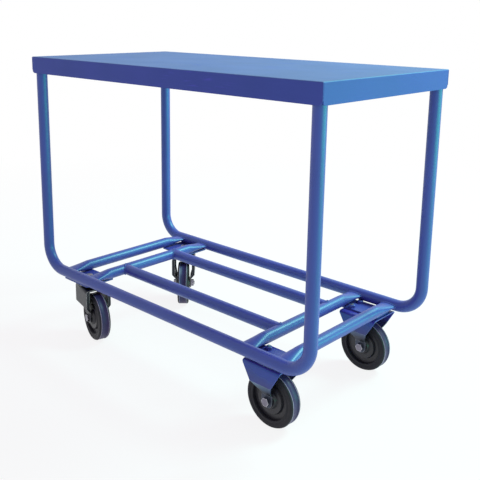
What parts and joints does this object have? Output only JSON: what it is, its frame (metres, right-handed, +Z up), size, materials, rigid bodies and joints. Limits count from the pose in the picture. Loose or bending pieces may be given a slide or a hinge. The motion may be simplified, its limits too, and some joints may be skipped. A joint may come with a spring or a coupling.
{
  "type": "stock cart",
  "caption": "Stock cart with a flat folded-sheet tray on bent-tube side frames, an open tubular lower shelf, fixed front casters and swivel rear casters.",
  "frame": {"origin": "on the floor, under the middle of the tray", "axes": "+X along the tray towards the fixed casters, +Y to the left, +Z up"},
  "size_m": [0.9, 0.45, 0.716],
  "materials": {
    "blue_paint": "gloss",
    "blue_over_zinc": "satin",
    "zinc": "satin",
    "bearing_steel": "polished",
    "tyre_rubber": "matte",
    "wheel_plastic": "matte",
    "bearing_plastic": "matte",
    "seal_rubber": "matte"
  },
  "bodies": {
    "cart_frame": {"axle_bolt_front_left": "zinc", "axle_bolt_front_right": "zinc", "axle_nut_front_left": "zinc", "axle_nut_front_right": "zinc", "axle_sleeve_front_left": "zinc", "axle_sleeve_front_right": "zinc", "bracket_bolts": "zinc", "bracket_nuts": "blue_paint", "caster_plate_front_left": "blue_paint", "caster_plate_front_right": "blue_paint", "caster_plate_rear_left": "blue_paint", "caster_plate_rear_right": "blue_paint", "cross_tube_front_inner": "blue_paint", "cross_tube_front_outer": "blue_paint", "cross_tube_rear_inner": "blue_paint", "cross_tube_rear_outer": "blue_paint", "deck_stiffener_front": "blue_paint", "deck_stiffener_rear": "blue_paint", "fixed_bracket_front_left": "blue_over_zinc", "fixed_bracket_front_right": "blue_over_zinc", "kingpin_bolt_rear_left": "zinc", "kingpin_bolt_rear_right": "zinc", "kingpin_nut_rear_left": "zinc", "kingpin_nut_rear_right": "zinc", "shelf_tube_left": "blue_paint", "shelf_tube_right": "blue_paint", "side_frame_left": "blue_paint", "side_frame_right": "blue_paint", "swivel_head_rear_left": "zinc", "swivel_head_rear_right": "zinc", "swivel_retainer_rear_left": "zinc", "swivel_retainer_rear_right": "zinc", "top_tray": "blue_paint"},
    "swivel_rear_right": {"swivel_fork_rear_right": "zinc", "swivel_balls_rear_right": "bearing_steel", "swivel_seal_rear_right": "seal_rubber", "axle_bolt_rear_right": "zinc", "axle_nut_rear_right": "zinc", "axle_sleeve_rear_right": "zinc"},
    "swivel_rear_left": {"swivel_fork_rear_left": "zinc", "swivel_balls_rear_left": "bearing_steel", "swivel_seal_rear_left": "seal_rubber", "axle_bolt_rear_left": "zinc", "axle_nut_rear_left": "zinc", "axle_sleeve_rear_left": "zinc"},
    "wheel_front_right": {"tyre_front_right": "tyre_rubber", "wheel_core_front_right": "wheel_plastic", "wheel_bearing_front_right": "bearing_plastic"},
    "wheel_front_left": {"tyre_front_left": "tyre_rubber", "wheel_core_front_left": "wheel_plastic", "wheel_bearing_front_left": "bearing_plastic"},
    "wheel_rear_right": {"tyre_rear_right": "tyre_rubber", "wheel_core_rear_right": "wheel_plastic", "wheel_bearing_rear_right": "bearing_plastic"},
    "wheel_rear_left": {"tyre_rear_left": "tyre_rubber", "wheel_core_rear_left": "wheel_plastic", "wheel_bearing_rear_left": "bearing_plastic"}
  },
  "joints": [
    {"name": "swivel_rear_right", "type": "hinge", "parent": "cart_frame", "child": "swivel_rear_right", "pos_m": [-0.311, -0.1705, 0.1335], "axis": [0, 0, 1], "continuous": true},
    {"name": "roll_rear_right", "type": "hinge", "parent": "swivel_rear_right", "child": "wheel_rear_right", "pos_m": [-0.26464, -0.18292, 0.0605], "axis": [0.2588, 0.9659, 0], "continuous": true},
    {"name": "swivel_rear_left", "type": "hinge", "parent": "cart_frame", "child": "swivel_rear_left", "pos_m": [-0.311, 0.1705, 0.1335], "axis": [0, 0, 1], "continuous": true},
    {"name": "roll_rear_left", "type": "hinge", "parent": "swivel_rear_left", "child": "wheel_rear_left", "pos_m": [-0.27766, 0.13597, 0.0605], "axis": [0.7193, 0.6947, 0], "continuous": true},
    {"name": "roll_front_right", "type": "hinge", "parent": "cart_frame", "child": "wheel_front_right", "pos_m": [0.3175, -0.1705, 0.0605], "axis": [0, 1, 0], "continuous": true},
    {"name": "roll_front_left", "type": "hinge", "parent": "cart_frame", "child": "wheel_front_left", "pos_m": [0.3175, 0.1705, 0.0605], "axis": [0, 1, 0], "continuous": true}
  ]
}
